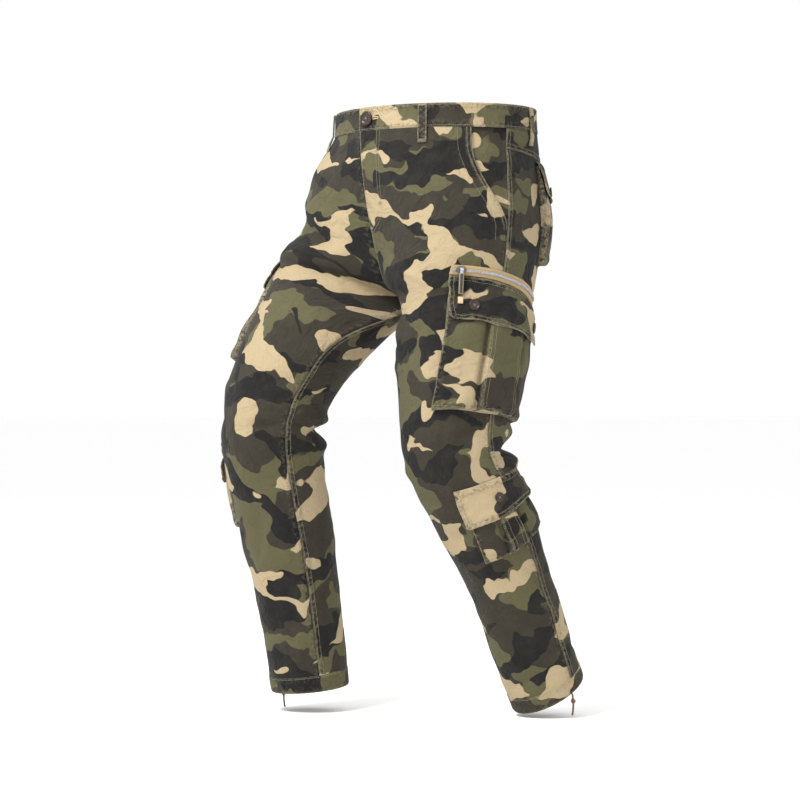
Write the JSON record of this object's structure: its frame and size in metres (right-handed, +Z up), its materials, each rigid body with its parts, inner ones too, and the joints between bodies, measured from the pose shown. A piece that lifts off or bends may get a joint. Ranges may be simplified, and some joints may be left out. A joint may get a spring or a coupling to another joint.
{
  "type": "cargo trousers, worn form in mid-stride",
  "caption": "Camouflage cotton cargo trousers, hollow as worn in mid-stride, with buttoned flap pockets on thighs, calves and seat and a zip over each thigh pocket.",
  "frame": {"origin": "centre of the waist opening, level with the waistband's top edge, where the wearer's waist holds the trousers up", "axes": "+Z up, the garment's front faces -Y, the wearer's left is +X"},
  "size_m": [0.4409, 0.4829, 0.9493],
  "materials": {
    "twill": "washed cotton twill in a woodland print of tan, olive, brown and near-black",
    "zip_tape": "tan woven tape",
    "strap": "dark woven strap with light edges",
    "zip_metal": "dull nickel",
    "button": "dark brown, polished",
    "cord": "brown braided cord"
  },
  "bodies": {
    "garment": {"front_left": "twill", "back_left": "twill", "yoke_left": "twill", "pocket_facing_left": "twill", "hem_left": "twill", "drawcord_left": "cord", "back_pocket_left": "twill", "back_flap_left": "twill", "back_button_left": "button", "cargo_pocket_left": "twill", "cargo_flap_left": "twill", "cargo_button_front_left": "button", "cargo_button_back_left": "button", "zip_tape_left": "zip_tape", "zip_teeth_left": "zip_metal", "zip_slider_left": "zip_metal", "zip_bridge_left": "zip_metal", "calf_pocket_left": "twill", "calf_flap_left": "twill", "calf_button_left": "button", "front_right": "twill", "back_right": "twill", "yoke_right": "twill", "pocket_facing_right": "twill", "hem_right": "twill", "drawcord_right": "cord", "back_pocket_right": "twill", "back_flap_right": "twill", "back_button_right": "button", "cargo_pocket_right": "twill", "cargo_flap_right": "twill", "cargo_button_front_right": "button", "cargo_button_back_right": "button", "zip_tape_right": "zip_tape", "zip_teeth_right": "zip_metal", "zip_slider_right": "zip_metal", "zip_bridge_right": "zip_metal", "calf_pocket_right": "twill", "calf_flap_right": "twill", "calf_button_right": "button", "waistband": "twill", "belt_loop_front_left": "twill", "belt_loop_side_left": "twill", "belt_loop_back": "twill", "belt_loop_side_right": "twill", "belt_loop_front_right": "twill", "waist_button": "button"},
    "pull_left": {"pull_tab_left": "zip_metal", "pull_strap_left": "strap", "pull_tip_left": "zip_tape"},
    "pull_right": {"pull_tab_right": "zip_metal", "pull_strap_right": "strap", "pull_tip_right": "zip_tape"}
  },
  "joints": [
    {"name": "pull_left_swing", "type": "hinge", "parent": "garment", "child": "pull_left", "pos_m": [0.18735, -0.08967, -0.25661], "axis": [-0.5083, -0.8588, 0.0642], "range_deg": [0, 100]},
    {"name": "pull_right_swing", "type": "hinge", "parent": "garment", "child": "pull_right", "pos_m": [-0.20029, -0.15328, -0.22097], "axis": [-0.4808, 0.8061, -0.345], "range_deg": [0, 100]}
  ]
}
